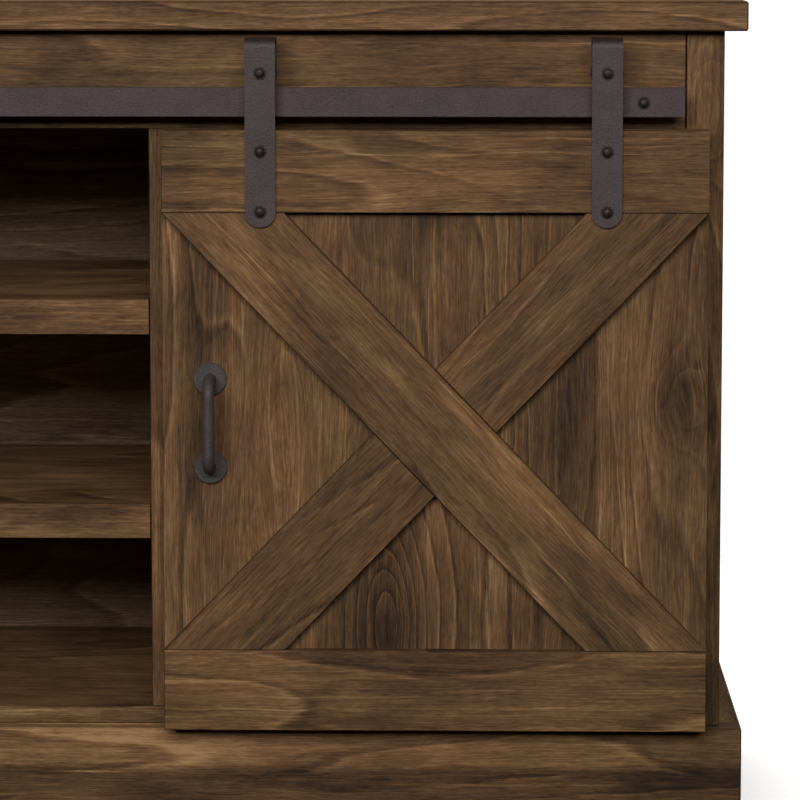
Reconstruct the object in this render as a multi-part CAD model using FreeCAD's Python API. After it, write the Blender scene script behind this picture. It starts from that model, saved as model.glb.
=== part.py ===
import FreeCAD, Part
import math
import os

# Media cabinet: three bays on a plinth, with two sliding barn doors that hang
# from a flat steel track. The doors stand in front of the outer bays, and the
# centre bay is open with two shelves.
#
# Units are millimetres. +X is to the right of someone facing the front, -Y is
# the front and +Z is up. The origin is on the floor, under the middle of the
# whole object. Depths are stated as "forward": the distance in front of the
# carcass's front plane, negative behind it.

# ---------------------------------------------------------------- dimensions

# Whole object
overall_width = 1473.0
overall_height = 718.5
side_overhang = 18.8              # top and plinth stand past the carcass sides

# Levels above the floor
glide_height = 3.0
plinth_height = 96.0
board_thickness = 15.0
top_thickness = 25.0
plinth_thickness = 25.0
fascia_height = 83.5
top_underside = overall_height - top_thickness
deck_top = plinth_height + board_thickness
fascia_bottom = top_underside - fascia_height

# Depths, forward of the carcass front plane
top_front = 15.5
top_back = -355.0
plinth_front = 12.0
plinth_back = -350.0
back_panel_front = -349.0
back_panel_thickness = 3.0

# Carcass
post_width = 32.0
divider_bay_face = 229.4
shelf_front = -2.0
shelf_back = -346.0
shelf_end_gap = 0.8
centre_shelf_thickness = 30.5
side_shelf_top = 368.0
side_shelf_front = -34.0
back_rail_height = 60.0
back_panel_gap = 0.4
edge_ease = 0.6                   # small 45 degree arris on board edges
heavy_edge_ease = 1.4             # the same on the top and the plinth

# Doors, all for the right-hand one
door_inner_edge = 242.8
door_outer_edge = 704.0
door_bottom = 98.2
door_top = 611.1
door_back = 12.5
door_panel_thickness = 15.0
face_thickness = 9.0              # rails and planks laid on the panel
rail_height = 69.6
plank_end_length = 103.2          # plank's cut end, along the rail
plank_gap = 0.5
panel_front = door_back + door_panel_thickness
door_front = panel_front + face_thickness

# Pull handle
handle_inset = 39.9               # from the door's inner edge
handle_height = 361.8
handle_centres = 75.4
handle_bar_radius = 5.0
handle_projection = 29.5          # from the panel's face
handle_bend_radius = 14.0
rose_radius = 14.0
rose_thickness = 3.0
handle_front = panel_front + handle_projection

# Track and rollers
track_half_length = 683.0
track_bottom = 621.5
track_height = 25.0
track_back = 21.5
track_thickness = 5.0
track_bolt_spacing = 324.15
track_level = track_bottom + track_height / 2
axle_above_track = 12.7
axle_level = track_bottom + track_height + axle_above_track
running_gap = 0.3                 # between the wheel's groove and the track
wheel_groove_radius = axle_above_track - running_gap
wheel_rim_radius = 13.9
wheel_back = 18.0
wheel_front = 30.0
wheel_side_gap = 0.5
wheel_bore_radius = 3.08

# Hanger straps
strap_width = 25.6
strap_thickness = 3.0
strap_top = 688.1
strap_bottom = 529.2
strap_bend_radius = 8.0
strap_inner_x = 326.3
strap_outer_x = 617.5
strap_rear = 8.5
strap_bolt_levels = (593.4, strap_bottom + strap_width / 2 + 0.7)

# Fasteners
bolt_radius = 3.0
bolt_hole_radius = 3.2
head_radius = 4.1
head_height = 4.3
flange_radius = 5.4
flange_thickness = 1.2
nut_across_flats = 10.0
nut_thickness = 5.0
pin_radius = 2.5
pin_depth = 7.0
pin_reach = 9.0
pin_pitch = 32.0

# Lower door guide
groove_back = 1.5
groove_width = 5.0
groove_depth = 11.0
guide_thickness = 1.6
guide_width = 40.0
guide_inset_inner = 20.0
guide_inset_outer = 14.0
groove_half_length = door_outer_edge - guide_inset_outer + 0.5

# The origin sits midway between the handle's front and the top's back edge.
carcass_front_y = (handle_front + top_back) / 2

half_width = overall_width / 2
carcass_half_width = half_width - side_overhang
side_inner_face = carcass_half_width - board_thickness
post_inner_face = carcass_half_width - post_width
divider_door_face = divider_bay_face + board_thickness

# ------------------------------------------------------------------- helpers


def y_of(forward):
    """Y of a plane that is this far forward of the carcass's front."""
    return carcass_front_y - forward


def block(x, forward, z):
    """A box from three (low, high) ranges, the middle one a depth."""
    corner = FreeCAD.Vector(x[0], y_of(forward[1]), z[0])
    return Part.makeBox(x[1] - x[0], forward[1] - forward[0], z[1] - z[0], corner)


def rod_y(x, z, forward, radius):
    """A cylinder along Y between two depths."""
    base = FreeCAD.Vector(x, y_of(forward[0]), z)
    return Part.makeCylinder(radius, forward[1] - forward[0], base, FreeCAD.Vector(0, -1, 0))


def rod_x(x, forward, z, radius):
    """A cylinder along X between two places."""
    base = FreeCAD.Vector(x[0], y_of(forward), z)
    return Part.makeCylinder(radius, x[1] - x[0], base, FreeCAD.Vector(1, 0, 0))


def rod_z(x, forward, z, radius):
    """A cylinder along Z between two levels."""
    base = FreeCAD.Vector(x, y_of(forward), z[0])
    return Part.makeCylinder(radius, z[1] - z[0], base, FreeCAD.Vector(0, 0, 1))


def cut_all(shape, cutters):
    """Cut away every cutter that reaches the shape."""
    for cutter in cutters:
        if shape.BoundBox.intersect(cutter.BoundBox):
            shape = shape.cut(cutter)
    return shape


def eased(shape, size, chosen):
    """Take the arris off the edges whose middle passes the test."""
    edges = [edge for edge in shape.Edges if chosen(edge.BoundBox.Center)]
    return shape.makeChamfer(size, edges)


def at_depth(forward):
    """A test for edges that lie in the plane at one depth."""
    return lambda point: abs(point.y - y_of(forward)) < 0.01


def mirrored(shape):
    """The same shape on the other side of the cabinet."""
    return shape.mirror(FreeCAD.Vector(0, 0, 0), FreeCAD.Vector(1, 0, 0))


def save(name, *solids):
    """Write one node, from one solid or a group of separate ones."""
    shape = solids[0] if len(solids) == 1 else Part.makeCompound(list(solids))
    shape.exportStep(os.path.join("parts", name + ".step"))


def save_pair(name, *solids):
    """Write the right-hand node and its mirror image."""
    save("right_" + name, *solids)
    save("left_" + name, *[mirrored(solid) for solid in solids])


def domed_bolt(x, z, seat, end):
    """A flanged, domed bolt: its seat faces forward and its shank runs back."""
    head = rod_y(x, z, (seat, seat + flange_thickness + head_height), head_radius)
    head = head.makeFillet(head_radius * 0.8, [
        edge for edge in head.Edges if at_depth(seat + flange_thickness + head_height)(edge.BoundBox.Center)])
    flange = rod_y(x, z, (seat, seat + flange_thickness), flange_radius)
    shank = rod_y(x, z, (end, seat), bolt_radius)
    return head.fuse([flange, shank]).removeSplitter()


def hex_nut(x, z, forward):
    """A nut on a bolt along Y, cut out for the bolt's shank."""
    corner_radius = nut_across_flats / math.sqrt(3)
    corners = []
    for step in range(7):
        angle = math.radians(60 * step)
        corners.append(FreeCAD.Vector(
            x + corner_radius * math.cos(angle), y_of(forward), z + corner_radius * math.sin(angle)))
    outline = Part.Face(Part.makePolygon(corners))
    body = outline.extrude(FreeCAD.Vector(0, -nut_thickness, 0))
    return body.cut(rod_y(x, z, (forward - 1, forward + nut_thickness + 1), bolt_radius))


# ----------------------------------------------------- holes and small metal

track_bolt_x = [step * track_bolt_spacing for step in (-2, -1, 0, 1, 2)]
strap_x = (strap_inner_x, strap_outer_x)

# Shelf pins: two depths on each supporting face, in rows of spare holes.
pin_forward = (-50.0, -300.0)
centre_opening = (fascia_bottom - deck_top - 2 * centre_shelf_thickness) / 3
lower_shelf_top = deck_top + centre_opening + centre_shelf_thickness
upper_shelf_top = lower_shelf_top + centre_opening + centre_shelf_thickness
centre_pin_levels = [top - centre_shelf_thickness - pin_radius for top in (lower_shelf_top, upper_shelf_top)]
side_pin_level = side_shelf_top - board_thickness - pin_radius


def pin_holes():
    """Every shelf-pin hole on the right half of the cabinet."""
    holes = []
    for forward in pin_forward:
        for level in centre_pin_levels:
            for step in (-1, 0, 1):
                z = level + step * pin_pitch
                holes.append(rod_x((divider_bay_face, divider_bay_face + pin_depth), forward, z, pin_radius))
        for step in (-2, -1, 0, 1, 2):
            z = side_pin_level + step * pin_pitch
            holes.append(rod_x((divider_door_face - pin_depth, divider_door_face), forward, z, pin_radius))
            holes.append(rod_x((side_inner_face, side_inner_face + pin_depth), forward, z, pin_radius))
    return holes


def shelf_pins():
    """The pins in use on the right half of the cabinet."""
    pins = []
    for forward in pin_forward:
        for level in centre_pin_levels:
            pins.append(rod_x(
                (divider_bay_face - pin_reach, divider_bay_face + pin_depth), forward, level, pin_radius))
        pins.append(rod_x(
            (divider_door_face - pin_depth, divider_door_face + pin_reach), forward, side_pin_level, pin_radius))
        pins.append(rod_x(
            (side_inner_face - pin_reach, side_inner_face + pin_depth), forward, side_pin_level, pin_radius))
    return pins


def cam_fasteners():
    """Cam locks in the uprights and their bolts into the top, right half."""
    cam_radius = 7.5
    cam_depth = 12.0
    cam_bolt_radius = 3.5
    cam_level = top_underside - 24.0
    solids = []
    for face in (divider_door_face - cam_depth, side_inner_face):
        middle = face + cam_depth / 2
        for forward in (-60.0, -290.0):
            bolt_levels = (cam_level + cam_radius / 2, top_underside + 11.0)
            bolt = rod_z(middle, forward, bolt_levels, cam_bolt_radius)
            solids.append(rod_x((face, face + cam_depth), forward, cam_level, cam_radius).cut(bolt))
            solids.append(bolt)
    return solids


right_holes = pin_holes() + cam_fasteners()
left_holes = [mirrored(hole) for hole in right_holes]
track_holes = [rod_y(x, track_level, (-board_thickness - 1, track_back + track_thickness + 1), bolt_hole_radius)
               for x in track_bolt_x]

# Two pilot holes for a wall strap, through the back rail and the back panel.
wall_hole_half_spacing = 160.0
wall_hole_level = top_underside - back_rail_height / 2
wall_hole_radius = 2.5
wall_holes = [rod_y(x, wall_hole_level, (back_panel_front - 5, back_panel_front + board_thickness + 1),
                    wall_hole_radius)
              for x in (-wall_hole_half_spacing, wall_hole_half_spacing)]

# ------------------------------------------------------------------- carcass


def top_panel():
    panel = block((-half_width, half_width), (top_back, top_front), (top_underside, overall_height))
    panel = eased(panel, heavy_edge_ease, lambda point: True)
    return cut_all(panel, right_holes + left_holes)


def side_panel():
    panel = block((side_inner_face, carcass_half_width), (back_panel_front, -post_width),
                  (plinth_height, top_underside))
    return cut_all(panel, right_holes)


def corner_post():
    post = block((post_inner_face, carcass_half_width), (-post_width, 0), (plinth_height, top_underside))
    return eased(post, edge_ease, at_depth(0))


def divider():
    panel = block((divider_bay_face, divider_door_face), (back_panel_front, 0), (deck_top, top_underside))
    panel = eased(panel, edge_ease, at_depth(0))
    notch = block((divider_bay_face - 1, divider_door_face + 1), (-board_thickness, 1),
                  (fascia_bottom, top_underside + 1))
    return cut_all(panel.cut(notch), right_holes)


def fascia_rail():
    end = post_inner_face - shelf_end_gap
    rail = block((-end, end), (-board_thickness, 0), (fascia_bottom, top_underside))
    rail = eased(rail, edge_ease, at_depth(0))
    return cut_all(rail, track_holes)


def bottom_panel():
    levels = (plinth_height, deck_top)
    back = block((-side_inner_face, side_inner_face), (back_panel_front, -post_width), levels)
    front = block((-post_inner_face, post_inner_face), (-post_width, 0), levels)
    front = eased(front, edge_ease, at_depth(0))
    return back.fuse(front).removeSplitter()


def back_panel(x_low, x_high, cable_x, cable_levels):
    """A thin back with round cable holes."""
    cable_hole_radius = 25.0
    forward = (back_panel_front - back_panel_thickness, back_panel_front)
    panel = block((x_low, x_high), forward, (plinth_height + 2, top_underside - 2))
    for level in cable_levels:
        hole = rod_y(cable_x, level, (forward[0] - 1, forward[1] + 1), cable_hole_radius)
        panel = panel.cut(hole)
    return cut_all(panel, wall_holes)


def back_rail():
    rail = block((-divider_bay_face, divider_bay_face), (back_panel_front, back_panel_front + board_thickness),
                 (top_underside - back_rail_height, top_underside))
    return cut_all(rail, wall_holes)


def centre_shelf(top):
    end = divider_bay_face - shelf_end_gap
    shelf = block((-end, end), (shelf_back, shelf_front), (top - centre_shelf_thickness, top))
    return eased(shelf, edge_ease, at_depth(shelf_front))


def side_shelf():
    ends = (divider_door_face + shelf_end_gap, side_inner_face - shelf_end_gap)
    shelf = block(ends, (shelf_back, side_shelf_front), (side_shelf_top - board_thickness, side_shelf_top))
    return eased(shelf, edge_ease, at_depth(side_shelf_front))


def save_carcass():
    cable_above = 45.0
    divider_middle = divider_bay_face + board_thickness / 2
    side_bay_middle = (divider_door_face + side_inner_face) / 2
    centre_cable_levels = [level + cable_above for level in (deck_top, lower_shelf_top, upper_shelf_top)]
    side_cable_levels = [level + cable_above for level in (deck_top, side_shelf_top)]
    save("top_panel", top_panel())
    save_pair("side_panel", side_panel())
    save_pair("corner_post", corner_post())
    save_pair("divider", divider())
    save("fascia_rail", fascia_rail())
    save("bottom_panel", bottom_panel())
    centre_end = divider_middle - back_panel_gap / 2
    save("centre_back_panel", back_panel(-centre_end, centre_end, 0, centre_cable_levels))
    save_pair("back_panel", back_panel(divider_middle + back_panel_gap / 2, carcass_half_width - 2,
                                       side_bay_middle, side_cable_levels))
    save("back_rail", back_rail())
    save("upper_centre_shelf", centre_shelf(upper_shelf_top))
    save("lower_centre_shelf", centre_shelf(lower_shelf_top))
    save_pair("side_shelf", side_shelf())
    pins = shelf_pins()
    save("shelf_pins", *pins, *[mirrored(pin) for pin in pins])
    cams = cam_fasteners()
    save("cam_fasteners", *cams, *[mirrored(cam) for cam in cams])


# -------------------------------------------------------------------- plinth

plinth_levels = (glide_height, plinth_height)
front_board_back = plinth_front - plinth_thickness
back_board_front = plinth_back + plinth_thickness
side_board_face = half_width - plinth_thickness


def plinth_front_board():
    board = block((-half_width, half_width), (front_board_back, plinth_front), plinth_levels)

    def outer_edge(point):
        on_front = at_depth(plinth_front)(point)
        on_top_end = abs(point.z - plinth_height) < 0.01 and abs(point.x) > half_width - 0.01
        return on_front or on_top_end

    board = eased(board, heavy_edge_ease, outer_edge)
    groove = block((-groove_half_length, groove_half_length), (groove_back, groove_back + groove_width),
                   (plinth_height - groove_depth, plinth_height + 1))
    return board.cut(groove)


def plinth_back_board():
    return block((-half_width, half_width), (plinth_back, back_board_front), plinth_levels)


def plinth_side_board():
    board = block((side_board_face, half_width), (back_board_front, front_board_back), plinth_levels)
    return eased(board, heavy_edge_ease,
                 lambda point: point.z > plinth_height - 0.01 and point.x > half_width - 0.01)


def plinth_cross_rail(x):
    half = board_thickness / 2
    return block((x - half, x + half), (back_board_front, front_board_back), plinth_levels)


def floor_glide(x, forward):
    glide_radius = 11.0
    glide = rod_z(x, forward, (0, glide_height), glide_radius)
    return eased(glide, edge_ease, lambda point: point.z < 0.01)


def save_plinth():
    end_glide_x = half_width - 30.0
    front_glide = (front_board_back + plinth_front) / 2
    back_glide = (plinth_back + back_board_front) / 2
    save("plinth_front_board", plinth_front_board())
    save("plinth_back_board", plinth_back_board())
    save_pair("plinth_side_board", plinth_side_board())
    save("plinth_cross_rails", plinth_cross_rail(-divider_bay_face), plinth_cross_rail(divider_bay_face))
    save("floor_glides", *[floor_glide(x, forward)
                           for x in (-end_glide_x, 0, end_glide_x)
                           for forward in (front_glide, back_glide)])


# --------------------------------------------------------------------- track


def track_bar():
    track_front = track_back + track_thickness
    bar = block((-track_half_length, track_half_length), (track_back, track_front),
                (track_bottom, track_bottom + track_height))
    return cut_all(eased(bar, edge_ease, at_depth(track_front)), track_holes)


def track_spacer(x):
    return rod_y(x, track_level, (0, track_back), 8.0).cut(
        rod_y(x, track_level, (-1, track_back + 1), bolt_hole_radius))


def save_track():
    nut_back = -board_thickness - nut_thickness
    bolts = [domed_bolt(x, track_level, track_back + track_thickness, nut_back) for x in track_bolt_x]
    nuts = [hex_nut(x, track_level, nut_back) for x in track_bolt_x]
    save("track_bar", track_bar())
    save("track_spacers", *[track_spacer(x) for x in track_bolt_x])
    save("track_fasteners", *bolts, *nuts)


# --------------------------------------------------------------------- doors

rail_bottom = door_top - rail_height
bottom_rail_top = door_bottom + rail_height
strap_inner_face = strap_rear + strap_thickness
strap_front = door_front + strap_thickness
handle_x = door_inner_edge + handle_inset
handle_levels = [handle_height - handle_centres / 2, handle_height + handle_centres / 2]
guide_x = (door_inner_edge + guide_inset_inner + guide_width / 2,
           door_outer_edge - guide_inset_outer - guide_width / 2)
guide_screw_level = 115.0
guide_screw_radius = 1.75
guide_screw_offset = 11.0
handle_screw_radius = 2.0
handle_screw_grip = 8.0


def door_holes():
    """Holes through the door for the hangers, the handle and the guides."""
    holes = []
    for x in strap_x:
        for level in strap_bolt_levels:
            holes.append(rod_y(x, level, (door_back - 1, strap_front + 1), bolt_hole_radius))
    for level in handle_levels:
        holes.append(rod_y(handle_x, level, (door_back - 1, panel_front + 1), handle_screw_radius))
    for x in guide_x:
        for offset in (-guide_screw_offset, guide_screw_offset):
            holes.append(rod_y(x + offset, guide_screw_level, (door_back - 3, door_back + 10),
                               guide_screw_radius))
    return holes


def door_panel():
    panel = block((door_inner_edge, door_outer_edge), (door_back, panel_front), (door_bottom, door_top))
    panel = eased(panel, edge_ease, at_depth(door_back))
    return cut_all(panel, door_holes())


def door_rail(low, high):
    rail = block((door_inner_edge, door_outer_edge), (panel_front, door_front), (low, high))
    rail = eased(rail, edge_ease, at_depth(door_front))
    return cut_all(rail, door_holes())


def plank_outline(top_x, bottom_x, widen):
    """A diagonal plank between the rails, cut level at both ends."""
    corners = [(top_x - widen, rail_bottom), (top_x + plank_end_length + widen, rail_bottom),
               (bottom_x + plank_end_length + widen, bottom_rail_top), (bottom_x - widen, bottom_rail_top)]
    points = [FreeCAD.Vector(x, y_of(panel_front), z) for x, z in corners]
    outline = Part.Face(Part.makePolygon(points + points[:1]))
    return outline.extrude(FreeCAD.Vector(0, -face_thickness, 0))


def door_planks():
    """The long plank and the two short ones that butt against it."""
    far_x = door_outer_edge - plank_end_length
    long_plank = plank_outline(door_inner_edge, far_x, 0)
    room = plank_outline(door_inner_edge, far_x, plank_gap)
    crossing = plank_outline(far_x, door_inner_edge, 0)
    halves = sorted(crossing.cut(room).Solids, key=lambda solid: solid.BoundBox.ZMax)
    planks = [eased(solid, edge_ease, at_depth(door_front)) for solid in [long_plank] + halves]
    return [cut_all(plank, door_holes()) for plank in planks]


def handle_bar():
    """A round bar bent forward, down and back again."""
    bar_depth = handle_front - handle_bar_radius
    low, high = handle_levels
    bend = handle_bend_radius

    def point(forward, z):
        return FreeCAD.Vector(handle_x, y_of(forward), z)

    corner = bend * (1 - math.sqrt(0.5))
    path = Part.Wire([
        Part.LineSegment(point(panel_front, low), point(bar_depth - bend, low)).toShape(),
        Part.Arc(point(bar_depth - bend, low), point(bar_depth - corner, low + corner),
                 point(bar_depth, low + bend)).toShape(),
        Part.LineSegment(point(bar_depth, low + bend), point(bar_depth, high - bend)).toShape(),
        Part.Arc(point(bar_depth, high - bend), point(bar_depth - corner, high - corner),
                 point(bar_depth - bend, high)).toShape(),
        Part.LineSegment(point(bar_depth - bend, high), point(panel_front, high)).toShape()])
    section = Part.Wire(Part.makeCircle(handle_bar_radius, point(panel_front, low), FreeCAD.Vector(0, -1, 0)))
    bar = path.makePipeShell([section], True, False)
    holes = [rod_y(handle_x, level, (panel_front - 1, panel_front + handle_screw_grip), handle_screw_radius)
             for level in handle_levels]
    return cut_all(bar, holes)


def handle_rose(level):
    rose_front = panel_front + rose_thickness
    rose = rod_y(handle_x, level, (panel_front, rose_front), rose_radius)
    rose = eased(rose, edge_ease, at_depth(rose_front))
    return rose.cut(rod_y(handle_x, level, (panel_front - 1, rose_front + 1), handle_bar_radius))


def hanger_strap(x):
    """A flat bar bent over the wheel: a long leg in front, a short one behind."""
    half = strap_width / 2
    across = (x - half, x + half)

    def bent_over(forward, top, radius):
        body = block(across, forward, (strap_bottom, top))
        corners = [edge for edge in body.Edges if edge.BoundBox.ZMin > top - 0.01 and edge.BoundBox.XLength > 1]
        return body.makeFillet(radius, corners)

    outside = bent_over((strap_rear, strap_front), strap_top, strap_bend_radius)
    inside = bent_over((strap_inner_face, door_front), strap_top - strap_thickness,
                       strap_bend_radius - strap_thickness)
    middle = (strap_inner_face + door_front) / 2
    front_end = strap_bottom + half
    rear_end = axle_level
    mask = block(across, (middle, strap_front), (front_end, strap_top))
    mask = mask.fuse(rod_y(x, front_end, (middle, strap_front), half))
    mask = mask.fuse(block(across, (strap_rear, middle), (rear_end, strap_top)))
    mask = mask.fuse(rod_y(x, rear_end, (strap_rear, middle), half))
    strap = outside.cut(inside).common(mask).removeSplitter()
    bolt_levels = (axle_level,) + strap_bolt_levels
    holes = [rod_y(x, level, (strap_rear - 1, strap_front + 1), bolt_hole_radius) for level in bolt_levels]
    return cut_all(strap, holes)


def wheel_spacers(x):
    """Sleeves that hold the wheel midway between the strap's legs."""
    spacer_radius = 5.5
    bore = rod_y(x, axle_level, (strap_rear, strap_front), bolt_hole_radius)
    rear = rod_y(x, axle_level, (strap_inner_face, wheel_back - running_gap), spacer_radius)
    front = rod_y(x, axle_level, (wheel_front + running_gap, door_front), spacer_radius)
    return [rear.cut(bore), front.cut(bore)]


def track_wheel(x):
    """A grooved wheel that runs on the track's upper edge."""
    rim_ease = 0.7
    groove_low = track_back - wheel_side_gap
    groove_high = track_back + track_thickness + wheel_side_gap
    flare = 0.4
    profile = [(wheel_back, wheel_bore_radius), (wheel_front, wheel_bore_radius),
               (wheel_front, wheel_rim_radius - rim_ease), (wheel_front - rim_ease, wheel_rim_radius),
               (groove_high + flare, wheel_rim_radius), (groove_high, wheel_groove_radius),
               (groove_low, wheel_groove_radius), (groove_low - flare, wheel_rim_radius),
               (wheel_back + rim_ease, wheel_rim_radius), (wheel_back, wheel_rim_radius - rim_ease)]
    points = [FreeCAD.Vector(x, y_of(forward), axle_level + radius) for forward, radius in profile]
    outline = Part.Face(Part.makePolygon(points + points[:1]))
    wheel = outline.revolve(FreeCAD.Vector(x, 0, axle_level), FreeCAD.Vector(0, 1, 0), 360)
    web_hole_radius = 1.6
    web_circle_radius = 8.6
    for step in range(4):
        angle = math.radians(45 + 90 * step)
        hole_x = x + web_circle_radius * math.cos(angle)
        hole_z = axle_level + web_circle_radius * math.sin(angle)
        wheel = wheel.cut(rod_y(hole_x, hole_z, (wheel_back - 1, wheel_front + 1), web_hole_radius))
    return wheel


def hanger_fasteners():
    """Domed bolts and nuts: two hold each strap, one carries each wheel."""
    solids = []
    for x in strap_x:
        for level in strap_bolt_levels:
            solids.append(domed_bolt(x, level, strap_front, door_back - nut_thickness))
            solids.append(hex_nut(x, level, door_back - nut_thickness))
        solids.append(domed_bolt(x, axle_level, strap_front, strap_rear - nut_thickness))
        solids.append(hex_nut(x, axle_level, strap_rear - nut_thickness))
    return solids


def guide_plate(x):
    """A bent plate behind the door whose tongue runs in the plinth's groove."""
    half = guide_width / 2
    across = (x - half, x + half)
    foot_level = door_bottom + 0.4
    tongue_back = groove_back + (groove_width - guide_thickness) / 2
    leg = block(across, (door_back - guide_thickness, door_back), (foot_level, foot_level + 26))
    foot = block(across, (tongue_back, door_back), (foot_level, foot_level + guide_thickness))
    tongue = block(across, (tongue_back, tongue_back + guide_thickness),
                   (plinth_height - groove_depth + 3, foot_level + guide_thickness))
    return cut_all(leg.fuse([foot, tongue]).removeSplitter(), door_holes())


def pan_screw(x, z, seat, tip, radius):
    """A pan-head screw driven forward from the back of the door."""
    head = rod_y(x, z, (seat - radius, seat), radius * 2)
    head = eased(head, radius / 2, at_depth(seat - radius))
    return head.fuse(rod_y(x, z, (seat, tip), radius)).removeSplitter()


def door_screws():
    """Screws that hold the handle and the guide plates."""
    solids = [pan_screw(handle_x, level, door_back, panel_front + handle_screw_grip, handle_screw_radius)
              for level in handle_levels]
    for x in guide_x:
        for offset in (-guide_screw_offset, guide_screw_offset):
            solids.append(pan_screw(x + offset, guide_screw_level, door_back - guide_thickness,
                                    door_back + 10, guide_screw_radius))
    return solids


def save_doors():
    long_plank, lower_plank, upper_plank = door_planks()
    save_pair("door_panel", door_panel())
    save_pair("door_top_rail", door_rail(rail_bottom, door_top))
    save_pair("door_bottom_rail", door_rail(door_bottom, bottom_rail_top))
    save_pair("door_long_plank", long_plank)
    save_pair("door_upper_plank", upper_plank)
    save_pair("door_lower_plank", lower_plank)
    save_pair("door_handle_bar", handle_bar())
    save_pair("door_handle_roses", *[handle_rose(level) for level in handle_levels])
    save_pair("door_inner_strap", hanger_strap(strap_inner_x))
    save_pair("door_outer_strap", hanger_strap(strap_outer_x))
    save_pair("door_hanger_fasteners", *hanger_fasteners())
    save_pair("door_wheel_spacers", *wheel_spacers(strap_inner_x), *wheel_spacers(strap_outer_x))
    save_pair("door_guide_plates", *[guide_plate(x) for x in guide_x])
    save_pair("door_screws", *door_screws())
    save_pair("inner_track_wheel", track_wheel(strap_inner_x))
    save_pair("outer_track_wheel", track_wheel(strap_outer_x))


os.makedirs("parts", exist_ok=True)
save_carcass()
save_plinth()
save_track()
save_doors()
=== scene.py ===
import math
from collections import namedtuple

import bpy
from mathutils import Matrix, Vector


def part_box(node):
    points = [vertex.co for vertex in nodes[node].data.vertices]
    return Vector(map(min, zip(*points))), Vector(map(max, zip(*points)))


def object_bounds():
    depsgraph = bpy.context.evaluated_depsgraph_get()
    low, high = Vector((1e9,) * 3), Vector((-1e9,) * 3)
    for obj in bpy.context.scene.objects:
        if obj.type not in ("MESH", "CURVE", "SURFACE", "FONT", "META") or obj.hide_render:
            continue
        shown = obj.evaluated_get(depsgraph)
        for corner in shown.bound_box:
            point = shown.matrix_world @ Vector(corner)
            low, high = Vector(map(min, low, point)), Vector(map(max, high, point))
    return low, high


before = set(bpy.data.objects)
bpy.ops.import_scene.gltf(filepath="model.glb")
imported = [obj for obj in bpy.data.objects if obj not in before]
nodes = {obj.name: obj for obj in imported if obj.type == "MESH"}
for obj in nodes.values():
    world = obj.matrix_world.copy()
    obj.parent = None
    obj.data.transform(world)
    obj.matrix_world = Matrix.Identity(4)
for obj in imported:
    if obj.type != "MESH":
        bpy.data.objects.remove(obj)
cad_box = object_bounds()

# The looks of a walnut media cabinet with two sliding doors. Every piece keeps its CAD mesh.
# Lengths are in metres; x runs to the right, y to the back and z up.
X_AXIS = Vector((1, 0, 0))
Y_AXIS = Vector((0, 1, 0))
Z_AXIS = Vector((0, 0, 1))
BRACE_ANGLE = math.radians(46.2)  # the slope of the door's crossed planks

# ---------------------------------------------------------------- colours
# sRGB from 0 to 255. The walnut's run from its darkest tone to its palest.
WOOD_TONES = (
    (0.00, (34, 24, 17)),
    (0.22, (53, 38, 26)),
    (0.45, (83, 60, 39)),
    (0.62, (104, 77, 51)),
    (0.80, (129, 98, 67)),
    (1.00, (157, 124, 88)),
)
FOLDED_EDGE = (26, 19, 14)
HARDBOARD = (104, 78, 56)
# painted shade for the bends of the door straps
PAINTED_BEND_SHADE = (14, 11, 11)
GLIDE_BLACK = (26, 26, 27)
ZINC = (176, 178, 182)
FLOOR = (252, 251, 250)

# Paints, each with its dark tone and its worn one.
TRACK_BRONZE = ((53, 43, 43), (83, 69, 68))
STRAP_BRONZE = ((52, 45, 44), (84, 72, 70))
PULL_BRONZE = ((50, 46, 44), (82, 75, 71))
BOLT_BRONZE = ((38, 32, 31), (52, 45, 43))

# Tints, which multiply a colour.
REDDISH = (1.04, 0.98, 0.94, 1.0)
OLIVE = (0.99, 1.00, 0.95, 1.0)
BACK_TINT = (0.92, 1.00, 1.28, 1.0)


def linear(rgb, gain=1.0):
    """An sRGB colour of 0 to 255 as the linear RGBA that a shader takes."""
    parts = [c / 255 for c in rgb]
    parts = [c / 12.92 if c <= 0.04045 else ((c + 0.055) / 1.055) ** 2.4 for c in parts]
    return tuple(gain * c for c in parts) + (1.0,)


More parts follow.
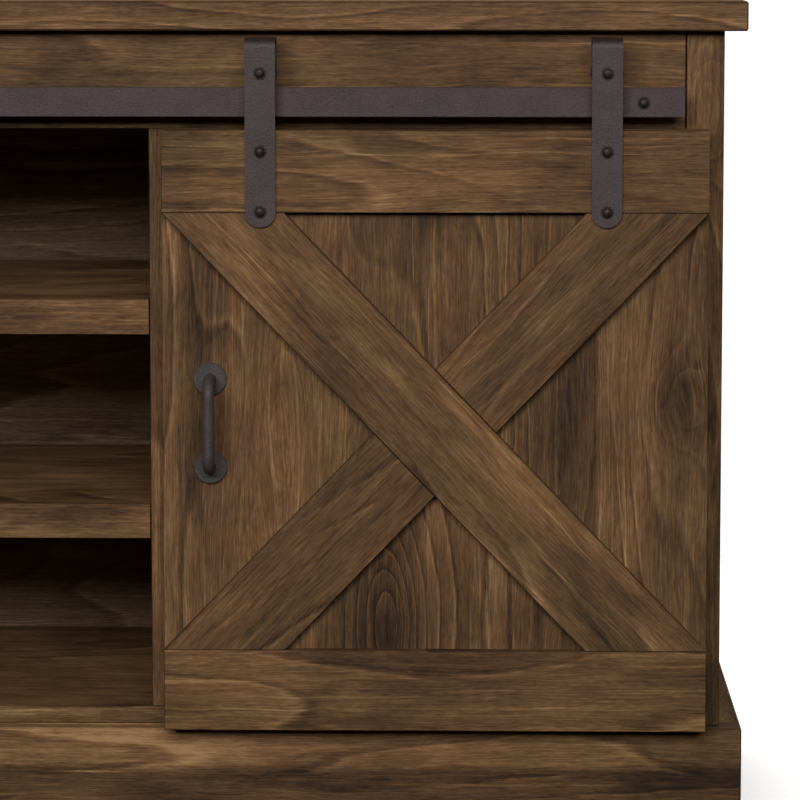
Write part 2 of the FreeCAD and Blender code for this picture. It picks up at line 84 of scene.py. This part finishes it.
# ---------------------------------------------------------------- node trees
class Graph:
    """Builds one node tree. An input is a number, a tuple or another node's output."""

    def __init__(self, tree):
        self.tree = tree

    def add(self, kind, inputs=(), **settings):
        node = self.tree.nodes.new(kind if kind.startswith("Node") else "ShaderNode" + kind)
        for name, value in settings.items():
            setattr(node, name, value)
        for key, value in dict(inputs).items():
            self.put(value, node.inputs[key])
        return node

    def put(self, value, socket):
        if isinstance(value, bpy.types.NodeSocket):
            self.tree.links.new(value, socket)
        else:
            socket.default_value = value

    def math(self, operation, *values):
        return self.add("Math", enumerate(values), operation=operation).outputs[0]

    def sum(self, *values):
        total = values[0]
        for value in values[1:]:
            total = self.math("ADD", total, value)
        return total

    def vector(self, operation, *values):
        node = self.add("VectorMath", enumerate(values), operation=operation)
        return node.outputs["Value" if operation == "DOT_PRODUCT" else "Vector"]

    def combine(self, x, y, z):
        return self.add("CombineXYZ", {"X": x, "Y": y, "Z": z}).outputs[0]

    def noise(self, place, per_metre, detail=2.0, roughness=0.5):
        """A noise value of about 0.2 to 0.8, its frequencies per metre given for each axis."""
        scaled = self.vector("MULTIPLY", place, per_metre)
        inputs = {"Vector": scaled, "Scale": 1.0, "Detail": detail, "Roughness": roughness}
        return self.add("TexNoise", inputs).outputs[0]

    def centred(self, value, middle, gain):
        """(value - middle) * gain."""
        return self.math("MULTIPLY", self.math("SUBTRACT", value, middle), gain)

    def step(self, value, low, high):
        """A smooth 0 to 1 as value goes from low to high; high may be the smaller."""
        inputs = {"Value": value, "From Min": low, "From Max": high}
        return self.add("MapRange", inputs, interpolation_type="SMOOTHSTEP").outputs[0]

    def mix(self, factor, low, high):
        """low to high, as numbers."""
        return self.add("Mix", {0: factor, 2: low, 3: high}, data_type="FLOAT").outputs[0]

    def tint(self, factor, first, second, blend="MIX"):
        """first to second, as colours."""
        inputs = {0: factor, 6: first, 7: second}
        return self.add("Mix", inputs, data_type="RGBA", blend_type=blend).outputs[2]

    def ramp(self, value, stops):
        """A colour that follows value through (position, colour) stops."""
        node = self.add("ValToRGB", {"Fac": value})
        elements = node.color_ramp.elements
        while len(elements) < len(stops):
            elements.new(0.5)
        for element, (position, colour) in zip(elements, stops):
            element.position = position
            element.color = colour
        return node.outputs[0]

    def curve(self, value, stops):
        """A number that follows value through (position, level) stops."""
        return self.ramp(value, [(p, (level, level, level, 1.0)) for p, level in stops])


def new_group(name, inputs, outputs):
    tree = bpy.data.node_groups.new(name, "ShaderNodeTree")
    for socket, kind in inputs.items():
        tree.interface.new_socket(socket, in_out="INPUT", socket_type="NodeSocket" + kind)
    for socket, kind in outputs.items():
        tree.interface.new_socket(socket, in_out="OUTPUT", socket_type="NodeSocket" + kind)
    return tree


def new_material(name):
    material = bpy.data.materials.new(name)
    material.use_nodes = True
    material.node_tree.nodes.clear()
    return material, Graph(material.node_tree)


def surface(
    g, colour, roughness, relief=None, strength=0.2, distance=0.0003, metallic=0.0, specular=0.5
):
    """The shader itself. Every constant is set on its own socket."""
    inputs = {"Base Color": colour, "Roughness": roughness, "Metallic": metallic}
    shader = g.add("BsdfPrincipled", inputs)
    shader.inputs["Specular IOR Level"].default_value = specular
    if relief is not None:
        bump = g.add("Bump", {"Strength": strength, "Distance": distance, "Height": relief})
        g.put(bump.outputs[0], shader.inputs["Normal"])
    out = g.add("OutputMaterial")
    g.put(shader.outputs[0], out.inputs["Surface"])
    return shader


def paint(name, material):
    """Gives CAD node name its finish; its mesh isn't touched."""
    for slot in nodes[name].material_slots:
        slot.material = material


# ---------------------------------------------------------------- walnut
# Its noises take their frequencies along the grain, across it and through the board.

BOARDS_PER_METRE = 15.0
# The level of a ring from one dark line to the next.
ONE_RING = (
    (0.00, 0.00),
    (0.07, 0.15),
    (0.15, 1.00),
    (0.28, 0.62),
    (0.70, 0.52),
    (0.93, 0.35),
    (1.00, 0.00),
)
FIGURE_INPUTS = {
    "Along": "Vector",
    "Across": "Vector",
    "Through": "Vector",
    "Offset": "Vector",
    "Boards": "Float",
    "Rings": "Float",
    "Patches": "Float",
    "Tone": "Float",
    "Swirl": "Float",
    "Bend": "Float",
}


def print_place(g, given):
    """Where a point of a board lies in the print, and how far it is on a bevel."""
    coordinates = g.add("TexCoord").outputs
    place, facing = coordinates["Object"], coordinates["Normal"]
    axes = [given[name] for name in ("Along", "Across", "Through")]
    u, v, w = (g.vector("DOT_PRODUCT", place, axis) for axis in axes)
    faces = [g.math("ABSOLUTE", g.vector("DOT_PRODUCT", facing, axis)) for axis in axes]
    squareness = g.math("MAXIMUM", g.math("MAXIMUM", faces[0], faces[1]), faces[2])
    # on a board's ends the edge band's grain runs across instead of along
    end = g.math("GREATER_THAN", faces[0], 0.9)
    turned = g.combine(g.mix(end, u, v), g.mix(end, v, u), w)
    return g.vector("ADD", turned, given["Offset"]), g.step(squareness, 0.97, 0.86)


def bent_grain(g, given, straight):
    """The same place in grain that waves, ripples and bends round its eyes."""
    wave = g.centred(g.noise(straight, (3.5, 12, 12)), 0.5, 0.018)
    ripple = g.centred(g.noise(straight, (22, 45, 45), 1.0), 0.5, 0.003)
    return g.vector("ADD", straight, g.combine(0.0, g.sum(wave, ripple, given["Bend"]), 0.0))


def narrow_boards(g, given, straight):
    """Narrow boards side by side: the tone of each, and how far its figure is shifted."""
    across = g.add("SeparateXYZ", {"Vector": straight}).outputs["Y"]
    number = g.math("FLOOR", g.math("MULTIPLY", across, BOARDS_PER_METRE))
    chance = g.add("TexWhiteNoise", {"W": number}, noise_dimensions="1D").outputs["Value"]
    tone = g.math("MULTIPLY", g.centred(chance, 0.5, 0.22), given["Boards"])
    shift = g.math("MULTIPLY", chance, g.math("MULTIPLY", given["Boards"], 6.0))
    return tone, g.combine(shift, 0.0, 0.0)


def growth_rings(g, given, grain, figure):
    """Rings, the contour lines of a stretched field: their level, and what they add to the tone."""
    field = g.math("MULTIPLY", g.noise(figure, (1.6, 9, 9), 1.0, 0.35), given["Rings"])
    feather = g.centred(g.noise(grain, (30, 260, 260)), 0.5, 0.22)
    ring = g.curve(g.math("FRACT", g.sum(field, given["Swirl"], feather)), ONE_RING)
    clear_places = g.step(g.noise(figure, (2.2, 8, 8), 1.0), 0.42, 0.60)
    return ring, g.centred(ring, 0.52, g.mix(clear_places, 0.12, 0.36))


def make_walnut():
    """The figure of dark walnut laminate, as a node group that all boards share.

    Along, Across and Through are the board's directions, and Offset is its own stretch of the
    print. Boards says how far it looks like narrow boards side by side. Rings and Patches say how
    much of each it has. Tone is its own tone, from 0, dark, to 1, pale. Swirl and Bend are what
    its eyes add.
    """
    outputs = {"Color": "Color", "Roughness": "Float", "Height": "Float"}
    tree = new_group("walnut_laminate_figure", FIGURE_INPUTS, outputs)
    g = Graph(tree)
    given = g.add("NodeGroupInput").outputs
    straight, bevel = print_place(g, given)
    grain = bent_grain(g, given, straight)
    boards, shift = narrow_boards(g, given, straight)
    figure = g.vector("ADD", grain, shift)
    ring, rings = growth_rings(g, given, grain, figure)

    broad = g.centred(g.noise(figure, (3.5, 150, 150), 3.0, 0.6), 0.5, 0.30)
    fibres = g.centred(g.noise(grain, (28, 900, 900), 2.5, 0.7), 0.5, 0.70)
    flecks = g.centred(g.noise(grain, (120, 380, 380), 2.0, 0.6), 0.5, 0.30)
    pores = g.step(g.noise(grain, (90, 1500, 1500), 1.0), 0.55, 0.68)
    dark_pores = g.math("MULTIPLY", pores, -0.10)
    streaks = g.step(g.noise(figure, (3, 290, 290), 2.0, 0.6), 0.56, 0.72)
    pale_streaks = g.math("MULTIPLY", streaks, 0.18)

    patch = g.noise(grain, (5, 12, 12), 3.0, 0.6)
    smoke = g.centred(g.noise(grain, (11, 26, 26), 4.0, 0.62), 0.5, 0.55)
    smudges = g.sum(g.centred(g.step(patch, 0.38, 0.60), 0.62, 0.17), smoke)
    patches = g.math("MULTIPLY", smudges, given["Patches"])

    tone = g.sum(
        given["Tone"], boards, rings, broad, fibres, flecks, patches, dark_pores, pale_streaks
    )
    colour = g.ramp(tone, [(at, linear(rgb)) for at, rgb in WOOD_TONES])
    hue = g.step(g.noise(grain, (3, 24, 24)), 0.36, 0.64)
    colour = g.tint(1.0, colour, g.tint(hue, OLIVE, REDDISH), "MULTIPLY")
    # the paper of the laminate is rubbed dark where it folds over a bevel
    colour = g.tint(g.math("MULTIPLY", bevel, 0.55), colour, linear(FOLDED_EDGE))

    burnish = g.centred(patch, 0.5, -0.25)
    sheen = g.centred(fibres, 0.0, -0.15)
    sunk_pores = g.math("MULTIPLY", pores, -0.4)
    raised_rings = g.math("MULTIPLY", ring, 0.3)
    out = g.add("NodeGroupOutput")
    g.put(colour, out.inputs["Color"])
    g.put(g.sum(g.mix(pores, 0.54, 0.66), burnish, sheen), out.inputs["Roughness"])
    g.put(g.sum(fibres, sunk_pores, raised_rings), out.inputs["Height"])
    return tree


# A spot of a board's print: its middle, its half length along the grain and half width across it,
# how many rings it has, and how much darker it is.
Spot = namedtuple("Spot", "x z half_length half_width rings dark")


def eyes(g, place, along, across, spots):
    """What a list of spots adds to a board's figure: (ring swirl, bend of the grain, tone)."""
    swirl, bend, tone = [], [], []
    for spot in spots:
        away = g.vector("SUBTRACT", place, (spot.x, 0.0, spot.z))
        side = g.vector("DOT_PRODUCT", away, across)
        far = g.math("DIVIDE", g.vector("DOT_PRODUCT", away, along), spot.half_length)
        wide = g.math("DIVIDE", side, spot.half_width)
        reach = g.sum(g.math("MULTIPLY", far, far), g.math("MULTIPLY", wide, wide))
        swell = g.math("EXPONENT", g.math("MULTIPLY", reach, -1.0))
        swirl.append(g.math("MULTIPLY", swell, spot.rings))
        # the grain goes round an eye, but straight through a spot without rings
        push = g.math("MULTIPLY", swell, side)
        bend.append(g.math("MULTIPLY", push, -0.55 if spot.rings else 0.0))
        tone.append(g.math("MULTIPLY", swell, -spot.dark))
    return g.sum(*swirl), g.sum(*bend), g.sum(*tone)


def strip_tone(g, name, place, across, strips):
    """The tone of a board's strips, whose distances are from its inner edge or its foot."""
    start, end = sorted(abs(corner.dot(across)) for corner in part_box(name))
    here = g.math("ABSOLUTE", g.vector("DOT_PRODUCT", place, across))
    share = g.math("DIVIDE", g.math("SUBTRACT", here, start), end - start)
    stops = [(at / (end - start), 0.5 + level) for at, level in strips]
    return g.math("SUBTRACT", g.curve(share, stops), 0.5)


def back_finish(g, coordinates, colour, roughness):
    """A back panel's colour and roughness: its print is greyer, its rear bare pressed board."""
    place = coordinates["Object"]
    facing = g.add("SeparateXYZ", {"Vector": coordinates["Normal"]}).outputs["Y"]
    rear = g.math("GREATER_THAN", facing, 0.5)
    speck = g.noise(place, (900, 900, 900), 3.0, 0.6)
    stain = g.noise(place, (6, 6, 6), 3.0)
    mottle = g.step(g.sum(speck, stain), 0.7, 1.3)
    pressed = g.tint(mottle, linear(HARDBOARD, 0.84), linear(HARDBOARD, 1.16))
    printed = g.tint(1.0, colour, BACK_TINT, "MULTIPLY")
    return g.tint(rear, printed, pressed), g.mix(rear, roughness, 0.85)


def board_axes(name, along=None):
    """A board's directions along its grain, across it and through the board.

    The grain follows its longest side unless along says otherwise. Of two equal sides, the one
    along x comes first.
    """
    low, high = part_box(name)
    size = high - low
    ranked = sorted((X_AXIS, Y_AXIS, Z_AXIS), key=lambda axis: -round(size.dot(axis), 4))
    if along is None:
        return ranked
    if along in ranked:
        return [along] + [axis for axis in ranked if axis != along]
    return along, Y_AXIS.cross(along), Y_AXIS


PRINT_STEP = (0.731, 1.377, 2.093)  # from one board's stretch of the print to the next one's
walnut = make_walnut()


def wood(
    name,
    order,
    along=None,
    boards=0.0,
    rings=11.0,
    patches=1.0,
    tone=0.55,
    spots=(),
    strips=(),
    backed=False,
):
    """A walnut board. order picks its own stretch of the print, and no two boards share one.

    boards, rings and patches say how much of each its figure has. spots and strips are what is its
    own. A backed board's rear is bare.
    """
    material, g = new_material("walnut_" + name)
    coordinates = g.add("TexCoord").outputs
    place = coordinates["Object"]
    along, across, through = board_axes(name, along)
    swirl, bend = 0.0, 0.0
    tones = [tone]
    if spots:
        swirl, bend, spot_tone = eyes(g, place, along, across, spots)
        tones.append(spot_tone)
    if strips:
        tones.append(strip_tone(g, name, place, across, strips))
    inputs = {
        "Along": along,
        "Across": across,
        "Through": through,
        "Offset": tuple(order * step for step in PRINT_STEP),
        "Boards": boards,
        "Rings": rings,
        "Patches": patches,
        "Tone": g.sum(*tones),
        "Swirl": swirl,
        "Bend": bend,
    }
    figure = g.add("Group", node_tree=walnut)
    for key, value in inputs.items():
        g.put(value, figure.inputs[key])
    colour, roughness, height = (figure.outputs[key] for key in ("Color", "Roughness", "Height"))
    if backed:
        colour, roughness = back_finish(g, coordinates, colour, roughness)
    surface(g, colour, roughness, height, 0.18, specular=0.12)
    paint(name, material)


# ---------------------------------------------------------------- the cabinet's boards
# The plinth front's print: tone by strip up from its foot, and its spots.
PLINTH_STRIPS = (
    (0.000, -0.08),
    (0.027, -0.12),
    (0.054, -0.22),
    (0.061, 0.07),
    (0.077, 0.09),
    (0.093, 0.02),
)
PLINTH_SPOTS = (
    Spot(0.15, 0.080, 0.22, 0.04, 0.0, -0.16),
    Spot(0.64, 0.075, 0.12, 0.04, 0.0, 0.10),
)
# A corner post has painted shade towards the plinth and an eye near its top. x is from its middle.
POST_SHADE_AND_EYE = (
    # painted shade low on the post, by the plinth
    Spot(0.0, 0.090, 0.11, 0.090, 0.0, 0.20),
    Spot(0.0, 0.625, 0.05, 0.018, 3.5, -0.04),
)
# Painted light: the backs are paler at the height of the two lower bays.
BACK_PAINTED_LIGHT = (
    Spot(0.0, 0.345, 0.60, 0.05, 0.0, -0.27),
    Spot(0.0, 0.150, 0.60, 0.05, 0.0, -0.10),
)


def post_spots(name):
    low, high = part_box(name)
    middle = (low.x + high.x) / 2
    return [spot._replace(x=middle + spot.x) for spot in POST_SHADE_AND_EYE]


# Each plain board and what sets it apart.
PLAIN_BOARDS = {
    "top_panel": {"tone": 0.62, "patches": 0.7},
    "fascia_rail": {"tone": 0.52, "patches": 0.8},
    "bottom_panel": {"tone": 0.61},
    "back_rail": {},
    "upper_centre_shelf": {"tone": 0.60},
    "lower_centre_shelf": {"tone": 0.60},
    "right_side_shelf": {},
    "left_side_shelf": {},
    "right_corner_post": {"spots": post_spots("right_corner_post")},
    "left_corner_post": {"spots": post_spots("left_corner_post")},
    "right_divider": {"patches": 0.5},
    "left_divider": {"patches": 0.5},
    "right_side_panel": {},
    "left_side_panel": {},
    "plinth_front_board": {"tone": 0.61, "spots": PLINTH_SPOTS, "strips": PLINTH_STRIPS},
    "plinth_back_board": {},
    # painted shade: the plinth's side boards get a darker tone
    "right_plinth_side_board": {"tone": 0.46},
    "left_plinth_side_board": {"tone": 0.46},
    "plinth_cross_rails": {},
}
for order, (name, look) in enumerate(PLAIN_BOARDS.items()):
    wood(name, order, boards=0.35, **look)
for order, name in enumerate(("centre_back_panel", "right_back_panel", "left_back_panel"), 30):
    wood(name, order, along=X_AXIS, boards=0.4, patches=0.5, spots=BACK_PAINTED_LIGHT, backed=True)

# ---------------------------------------------------------------- the doors' boards
# The door panel's print: tone by strip outwards from its inner edge.
PANEL_STRIPS = (
    (0.000, 0.12),
    (0.011, 0.12),
    (0.015, 0.00),
    (0.027, -0.05),
    (0.049, -0.06),
    (0.060, 0.04),
    (0.087, 0.05),
    (0.137, 0.05),
    (0.152, 0.00),
    (0.169, -0.10),
    (0.202, -0.09),
    (0.227, -0.01),
    (0.259, 0.00),
    (0.261, 0.10),
    (0.292, 0.08),
    (0.294, -0.03),
    (0.325, -0.06),
    (0.339, -0.14),
    (0.366, -0.12),
    (0.369, 0.10),
    (0.403, 0.12),
    (0.419, 0.00),
    (0.461, -0.01),
)
# Its spots: x outwards from its inner edge, z up from its foot.
PANEL_SPOTS = (
    Spot(0.073, 0.132, 0.120, 0.024, 4.5, 0.00),
    Spot(0.102, 0.252, 0.080, 0.020, 3.5, 0.00),
    Spot(0.190, 0.089, 0.062, 0.019, 4.0, 0.13),
    Spot(0.336, 0.223, 0.042, 0.010, 1.6, 0.11),
    Spot(0.442, 0.282, 0.036, 0.024, 2.2, 0.23),
    Spot(0.027, 0.362, 0.080, 0.020, 0.0, 0.13),
    Spot(0.209, 0.392, 0.045, 0.035, 0.0, -0.13),
    Spot(0.427, 0.337, 0.040, 0.045, 0.0, -0.07),
    Spot(0.439, 0.127, 0.060, 0.030, 0.0, 0.06),
    Spot(0.294, 0.072, 0.035, 0.030, 0.0, 0.12),
    Spot(0.167, 0.052, 0.075, 0.035, 0.0, 0.08),
    Spot(0.193, 0.472, 0.045, 0.050, 0.0, 0.07),
)
# The long plank's streaks: x down along it from its middle, z up across it.
PLANK_SPOTS = (
    Spot(0.000, 0.000, 0.090, 0.060, 0.0, -0.09),
    Spot(-0.082, 0.007, 0.060, 0.005, 0.0, -0.15),
    Spot(0.236, 0.010, 0.040, 0.006, 0.0, -0.16),
    Spot(0.215, -0.014, 0.050, 0.009, 0.0, 0.12),
)


def panel_spots(name, outward):
    """The left door's panel has the right one's print turned end for end."""
    low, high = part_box(name)
    corner = low if outward > 0 else high
    return [
        spot._replace(x=corner.x + outward * spot.x, z=corner.z + outward * spot.z)
        for spot in PANEL_SPOTS
    ]


def plank_spots(name, falling, upward):
    low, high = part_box(name)
    middle = (low + high) / 2
    places = [middle + falling * spot.x + upward * spot.z for spot in PLANK_SPOTS]
    return [spot._replace(x=at.x, z=at.z) for spot, at in zip(PLANK_SPOTS, places)]


def door_boards(door, outward, order):
    """The boards of the door whose nodes' names start with door; outward is 1 or -1 along x."""
    cosine, sine = math.cos(BRACE_ANGLE), math.sin(BRACE_ANGLE)
    falling = Vector((outward * cosine, 0, -sine))
    rising = Vector((outward * cosine, 0, sine))
    upward = Vector((outward * sine, 0, cosine))  # across the falling plank
    panel_print = {"spots": panel_spots(door + "panel", outward), "strips": PANEL_STRIPS}
    streaks = plank_spots(door + "long_plank", falling, upward)
    wood(door + "panel", order, along=Z_AXIS, rings=15.0, patches=0.65, **panel_print)
    wood(door + "top_rail", order + 1, boards=0.2, tone=0.58)
    wood(door + "bottom_rail", order + 2, boards=0.2, tone=0.52)
    wood(door + "long_plank", order + 3, along=falling, boards=0.1, tone=0.60, spots=streaks)
    wood(door + "upper_plank", order + 4, along=rising, boards=0.1, patches=0.6, tone=0.56)
    wood(door + "lower_plank", order + 5, along=rising, boards=0.1, tone=0.48)


door_boards("right_door_", 1, 40)
door_boards("left_door_", -1, 50)


# ---------------------------------------------------------------- metal and plastic
STRAP_BEND = 0.007  # how far below its top a strap starts to bend over its wheel
# the height over which the painted shade on a strap's bend fades in
BEND_SHADE_FADE = 0.006


def powder_coat(name, tones, gloss=0.5, shaded_above=None):
    """Dark bronze powder coat: a pebbled skin, slightly uneven in tone.

    Above a given level it is painted darker: painted shade on the strap's bend over its wheel,
    under the top.
    """
    material, g = new_material(name)
    place = g.add("TexCoord").outputs["Object"]
    pebble = g.noise(place, (620, 620, 620), 3.0, 0.7)
    mottle = g.noise(place, (38, 38, 38), 3.0, 0.6)
    level = g.sum(g.centred(mottle, 0.5, 0.8), g.centred(pebble, 0.5, 1.8), 0.5)
    dark, worn = tones
    colour = g.tint(level, linear(dark), linear(worn))
    if shaded_above is not None:
        # painted shade: the strap's bend is darkened above the given level
        height = g.add("SeparateXYZ", {"Vector": place}).outputs["Z"]
        bend_shade = g.step(height, shaded_above, shaded_above + BEND_SHADE_FADE)
        colour = g.tint(g.math("MULTIPLY", bend_shade, 0.75), colour, linear(PAINTED_BEND_SHADE))
    roughness = g.sum(gloss, g.centred(mottle, 0.5, 0.25))
    surface(g, colour, roughness, pebble, 0.5, 0.0008, specular=0.22)
    return material


def moulded_plastic():
    material, g = new_material("black_moulded_plastic")
    place = g.add("TexCoord").outputs["Object"]
    grain = g.noise(place, (1600, 1600, 1600))
    scuff = g.noise(place, (60, 60, 400), 3.0, 0.6)
    colour = g.tint(g.step(scuff, 0.5, 0.8), linear(GLIDE_BLACK), linear(GLIDE_BLACK, 2.2))
    surface(g, colour, g.mix(scuff, 0.42, 0.66), grain, 0.15, 0.0002)
    return material


def zinc_plate():
    material, g = new_material("zinc_plate")
    place = g.add("TexCoord").outputs["Object"]
    spangle = g.noise(place, (420, 420, 420), 3.0, 0.6)
    colour = g.tint(spangle, linear(ZINC, 0.7), linear(ZINC))
    surface(g, colour, g.mix(spangle, 0.26, 0.48), spangle, 0.08, 0.0002, metallic=1.0)
    return material


# Finishes by the name of the material that a CAD node came with.
FITTINGS = {
    "bronze_steel": powder_coat("bronze_powder_coat", TRACK_BRONZE),
    "black_plastic": moulded_plastic(),
    "zinc_fittings": zinc_plate(),
}
for node in nodes.values():
    for slot in node.material_slots:
        if slot.material is not None and slot.material.name in FITTINGS:
            slot.material = FITTINGS[slot.material.name]

strap_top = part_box("right_door_inner_strap")[1].z
strap_paint = powder_coat("bronze_strap_paint", STRAP_BRONZE, shaded_above=strap_top - STRAP_BEND)
pull_paint = powder_coat("bronze_pull_paint", PULL_BRONZE, gloss=0.44)
bolt_paint = powder_coat("bronze_bolt_paint", BOLT_BRONZE, gloss=0.36)
paint("track_fasteners", bolt_paint)
for door in ("right_door_", "left_door_"):
    paint(door + "hanger_fasteners", bolt_paint)
    paint(door + "inner_strap", strap_paint)
    paint(door + "outer_strap", strap_paint)
    paint(door + "handle_bar", pull_paint)
    paint(door + "handle_roses", pull_paint)


# ---------------------------------------------------------------- floor and light
FLOOR_SIZE = 160.0
FLOOR_GLOW = 0.3
BACKDROP_GLOW = 0.012
SUN_DISTANCE = 5.0  # for its arrow only: a sun shines alike from any distance
CABINET_MIDDLE = sum(cad_box, Vector()) / 2


def pale_floor():
    """A floor that gives off a little light, so that the shadows on it stay pale."""
    bpy.ops.mesh.primitive_plane_add(size=FLOOR_SIZE, location=(0, 0, 0))
    plane = bpy.context.object
    plane.name = "studio_floor"
    plane.visible_diffuse = False
    plane.visible_glossy = False
    material, g = new_material("pale_floor")
    grain = g.noise(g.add("TexCoord").outputs["Object"], (40, 40, 40), 3.0)
    shader = surface(g, g.tint(grain, linear(FLOOR, 0.97), linear(FLOOR)), 0.7)
    shader.inputs["Emission Color"].default_value = linear(FLOOR)
    shader.inputs["Emission Strength"].default_value = FLOOR_GLOW
    plane.data.materials.append(material)
    return plane


floor = pale_floor()


def aim(thing, place, target):
    thing.location = place
    thing.rotation_euler = (Vector(target) - Vector(place)).to_track_quat("-Z", "Y").to_euler()
    bpy.context.scene.collection.objects.link(thing)


def direction(azimuth, elevation):
    """The unit vector towards a light; azimuth 0 is straight in front and grows to the right."""
    a, e = math.radians(azimuth), math.radians(elevation)
    return Vector((math.sin(a) * math.cos(e), -math.cos(a) * math.cos(e), math.sin(e)))


def sun(name, azimuth, elevation, strength, spread, glossy=True):
    lamp = bpy.data.lights.new(name, "SUN")
    lamp.energy = strength
    lamp.angle = math.radians(spread)
    thing = bpy.data.objects.new(name, lamp)
    thing.visible_glossy = glossy
    aim(thing, direction(azimuth, elevation) * SUN_DISTANCE, (0, 0, 0))


def softbox(name, azimuth, elevation, distance, width, height, power):
    lamp = bpy.data.lights.new(name, "AREA")
    lamp.shape = "RECTANGLE"
    lamp.size = width
    lamp.size_y = height
    lamp.energy = power
    place = CABINET_MIDDLE + direction(azimuth, elevation) * distance
    aim(bpy.data.objects.new(name, lamp), place, CABINET_MIDDLE)


softbox("key", -24, 19.2, distance=9.6, width=0.35, height=1.5, power=107)
softbox("front_softbox", 0, 26.7, distance=7.7, width=7.0, height=3.2, power=540)
# The broad light from behind is kept out of reflections.
sun("back_light", -165, 36, strength=3.0, spread=75, glossy=False)
sun("right_light", 118, 12, strength=1.6, spread=50)
sun("left_light", -118, 12, strength=1.6, spread=50)


def studio_backdrop():
    """The empty studio reads as white behind the object, but hardly lights it."""
    world = bpy.data.worlds.new("studio")
    world.use_nodes = True
    g = Graph(world.node_tree)
    background = world.node_tree.nodes["Background"]
    background.inputs["Color"].default_value = (1.0, 1.0, 1.0, 1.0)
    seen = g.add("LightPath").outputs["Is Camera Ray"]
    g.put(g.mix(seen, BACKDROP_GLOW, 1.0), background.inputs["Strength"])
    return world


bpy.context.scene.world = studio_backdrop()
bpy.context.scene.view_settings.view_transform = "Standard"

# ---------------------------------------------------------------- camera
CAMERA_PLACE = (0.5041, -3.2681, 0.8020)
CAMERA_DOWN = 5.872  # degrees below the horizontal
CAMERA_LEFT = 1.120  # degrees to the left of straight ahead
CAMERA_SHIFT = -0.15  # of the picture's width, downwards
SENSOR_WIDTH = 36.0  # mm
FOCAL_LENGTH = 165.64  # mm
CLIP_END = 200.0
lens = bpy.data.cameras.new("camera")
lens.sensor_width = SENSOR_WIDTH
lens.lens = FOCAL_LENGTH
lens.shift_y = CAMERA_SHIFT
lens.clip_end = CLIP_END
camera = bpy.data.objects.new("camera", lens)
camera.location = CAMERA_PLACE
camera.rotation_euler = (math.radians(90 - CAMERA_DOWN), 0.0, math.radians(CAMERA_LEFT))
bpy.context.scene.collection.objects.link(camera)
bpy.context.scene.camera = camera
